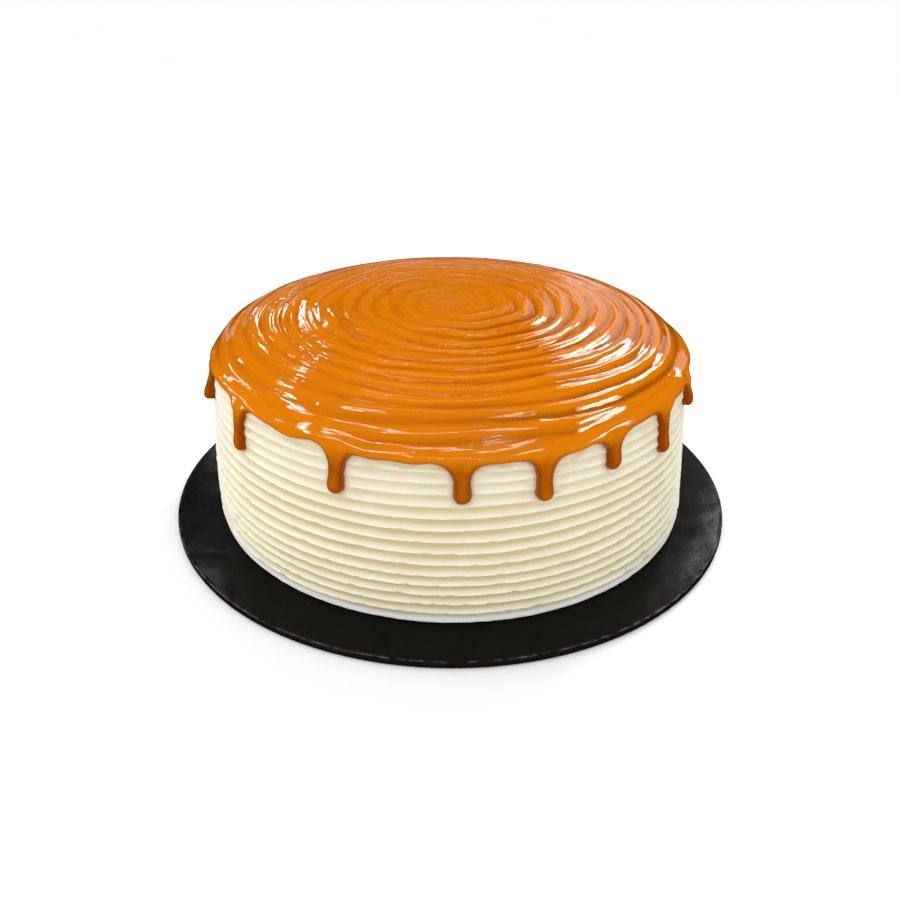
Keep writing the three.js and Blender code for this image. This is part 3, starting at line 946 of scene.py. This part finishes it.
def make_caramel():
    """The poured caramel: swirled top, rolled lip and drips, as one closed skin."""
    caramel = make_sheet()

    # The sheet is extruded into a skin. The new side is its outside, the old one its underside.
    active(caramel)
    bpy.ops.object.mode_set(mode="EDIT")
    bpy.ops.mesh.select_all(action="SELECT")
    bpy.ops.mesh.extrude_region()
    bpy.ops.object.mode_set(mode="OBJECT")
    radius, angle, height = places_of(caramel)
    outside = np.zeros(len(radius), bool)
    caramel.data.vertices.foreach_get("select", outside)
    out_radius, out_height = skin_shape(radius, angle, height)
    in_radius, in_height = skin_underside(radius, height)
    place(caramel, np.where(outside, out_radius, in_radius), angle,
          np.where(outside, out_height, in_height), CAKE_PLACE)

    inside = inside_of_skin(radius, angle, height)
    # Painted shade on the drips, growing downwards below the edge.
    run = np.clip((EDGE_HEIGHT - 1 - height) / 6, 0, 1)
    _, crest, scored = spiral_relief(radius, angle)
    paint(caramel, "run", run)
    # Painted shade along the outline, wider on the drips.
    paint(caramel, "edge_shade", hump(inside.clip(0), 0, 1.1 + 0.5 * run))
    # A band along the lip counts as crest, which makes it lighter as painted light.
    paint(caramel, "crest", np.maximum(crest, hump(inside, 3.6, 3)))
    paint(caramel, "scored", scored)

    # The underside is hidden, so it needs few faces.
    bpy.ops.object.mode_set(mode="EDIT")
    bpy.ops.mesh.select_all(action="INVERT")
    bpy.ops.mesh.decimate(ratio=UNDERSIDE_SHARE)
    bpy.ops.mesh.select_all(action="SELECT")
    bpy.ops.mesh.normals_make_consistent(inside=False)
    bpy.ops.object.mode_set(mode="OBJECT")
    finish_piece(caramel, caramel_finish(), "caramel", "dulce_de_leche")


def bridge_rings(piece, inner, outer):
    """Joins two open rings of the top, whose edges lie at these radii."""
    active(piece)
    radius, _, height = places_of(piece)
    on_edge = (np.abs(radius - inner) < 0.02) | (np.abs(radius - outer) < 0.02)
    on_edge &= height > DOME_SPRING + 20
    piece.data.vertices.foreach_set("select", on_edge)
    edges = np.empty(len(piece.data.edges) * 2, int)
    piece.data.edges.foreach_get("vertices", edges)
    start, end = edges.reshape(-1, 2).T
    same_ring = np.abs(radius[start] - radius[end]) < 0.02
    piece.data.edges.foreach_set("select", on_edge[start] & on_edge[end] & same_ring)
    piece.data.polygons.foreach_set("select", np.zeros(len(piece.data.polygons), bool))
    bpy.ops.object.mode_set(mode="EDIT")
    bpy.ops.mesh.select_mode(type="EDGE")
    bpy.ops.mesh.bridge_edge_loops()
    bpy.ops.mesh.select_mode(type="VERT")
    bpy.ops.object.mode_set(mode="OBJECT")


def trim(piece, unwanted):
    """Takes away the points that aren't wanted, with their faces."""
    active(piece)
    bpy.ops.object.mode_set(mode="EDIT")
    bpy.ops.mesh.select_all(action="DESELECT")
    bpy.ops.mesh.select_mode(type="VERT")
    bpy.ops.object.mode_set(mode="OBJECT")
    piece.data.vertices.foreach_set("select", unwanted)
    bpy.ops.object.mode_set(mode="EDIT")
    bpy.ops.mesh.delete(type="VERT")
    bpy.ops.object.mode_set(mode="OBJECT")


# --- floor, light and camera -------------------------------------------------------------------

FLOOR_SIZE = 400
FLOOR_DROP = 0.2 * MM


def make_floor():
    nothing_selected()
    bpy.ops.mesh.primitive_plane_add(size=FLOOR_SIZE, location=(0, 0, -FLOOR_DROP))
    floor = bpy.context.object
    floor.name = "floor"
    paper = Finish("pale_paper", Specular_IOR_Level=0.0)
    mottle = paper.grain(paper.place((3, 3, 3)))
    paper.feed("Base Color", paper.blend(mottle, *PAPER))
    paper.feed("Roughness", 0.8 + mottle * 0.1)
    floor.data.materials.append(paper.material)
    floor.visible_glossy = False


# Softboxes: direction and elevation in degrees as seen from the cake, width and height in
# metres, distance, how bright the panel looks, and whether it lights matt surfaces as well as
# being mirrored in glossy ones.
SOFTBOXES = [
    ("window_right", 57, 38, 0.33, 0.56, 1.5, 13.0, True),
    ("window_left", 154, 18, 0.62, 0.07, 1.5, 13.0, True),
    ("window_behind", 110, 21, 0.05, 0.22, 1.6, 16.0, True),
    ("lamp_back", 116, 37, 0.06, 0.05, 1.5, 24.0, True),
    ("window_edge", 44, 22, 0.12, 0.20, 1.5, 13.0, True),
    ("wall_back", 62, 18, 1.0, 0.6, 1.6, 0.75, True),
    ("wall_far", 100, 7, 1.6, 0.16, 1.6, 0.6, True),
    ("window_side", 168, 8, 0.5, 0.12, 1.5, 14.0, True),
    ("strip_front", -95, 54, 0.5, 0.045, 1.4, 28.0, False),
    ("strip_front_left", -140, 54, 0.8, 0.06, 1.4, 32.0, False),
    ("strip_front_right", -57, 52, 0.5, 0.05, 1.4, 28.0, False),
    ("strip_left", 172, 46, 0.8, 0.07, 1.4, 32.0, False),
    ("strip_right", -10, 30, 0.6, 0.20, 1.4, 22.0, False),
    ("strip_above", 98, 60, 0.7, 0.04, 1.4, 7.0, False),
]
SOFTBOX_AIM = Vector((0, 0, 0.05))

# The sky is brightest in this direction, and this bright away from it and towards it. Glossy
# surfaces mirror only a small share of it.
SKY_BRIGHTEST = (-0.24, -0.45, 0.86)
SKY_DARK = 0.0
SKY_BRIGHT = 1.34
SKY_MIRRORED = 0.02


def make_softboxes():
    for name, direction, elevation, width, height, distance, bright, on_matt in SOFTBOXES:
        turn, lift = math.radians(direction), math.radians(elevation)
        way = Vector((math.cos(turn) * math.cos(lift), math.sin(turn) * math.cos(lift),
                      math.sin(lift)))
        nothing_selected()
        bpy.ops.object.light_add(type="AREA", location=SOFTBOX_AIM + way * distance)
        lamp = bpy.context.object
        lamp.name = name
        lamp.data.shape = "RECTANGLE"
        lamp.data.size, lamp.data.size_y = width, height
        lamp.data.energy = bright * math.pi * width * height
        lamp.rotation_euler = way.to_track_quat("Z", "Y").to_euler()
        lamp.visible_diffuse = on_matt


def make_sky():
    world = bpy.data.worlds.new("studio")
    bpy.context.scene.world = world
    world.use_nodes = True
    sky = Nodes(world.node_tree)
    dimmed = sky.node("ShaderNodeMapRange", {}, {
        "Value": sky.node("ShaderNodeLightPath", output="Is Glossy Ray"),
        "To Min": 1.0, "To Max": SKY_MIRRORED})
    towards = sky.node("ShaderNodeVectorMath", {"operation": "DOT_PRODUCT"}, {
        0: sky.node("ShaderNodeTexCoord", output="Generated"), 1: SKY_BRIGHTEST}, output="Value")
    level = sky.node("ShaderNodeMapRange", {}, {
        "Value": towards, "From Min": -1.0, "To Min": SKY_DARK, "To Max": SKY_BRIGHT})
    background = sky.tree.nodes["Background"]
    background.inputs["Color"].default_value = colour(1.0, 1.0, 1.0)
    sky.tree.links.new((dimmed * level).socket, background.inputs["Strength"])


CAMERA_PLACE = (-0.3, -355.3, 216.4)
CAMERA_DOWN = 29.106
CAMERA_ROLL = 0.307
CAMERA_LENS = 34.25


def make_camera():
    camera = bpy.data.objects.new("camera", bpy.data.cameras.new("camera"))
    bpy.context.scene.collection.objects.link(camera)
    camera.data.lens = CAMERA_LENS
    camera.data.sensor_width = 36
    camera.data.clip_start = 0.01
    camera.matrix_world = (
        Matrix.Translation(Vector(CAMERA_PLACE) * MM)
        @ Matrix.Rotation(math.radians(90 - CAMERA_DOWN), 4, "X")
        @ Matrix.Rotation(math.radians(CAMERA_ROLL), 4, "Z"))
    bpy.context.scene.camera = camera


make_board()
make_cream()
make_caramel()
make_floor()
make_softboxes()
make_sky()
make_camera()
bpy.context.scene.view_settings.view_transform = "Standard"
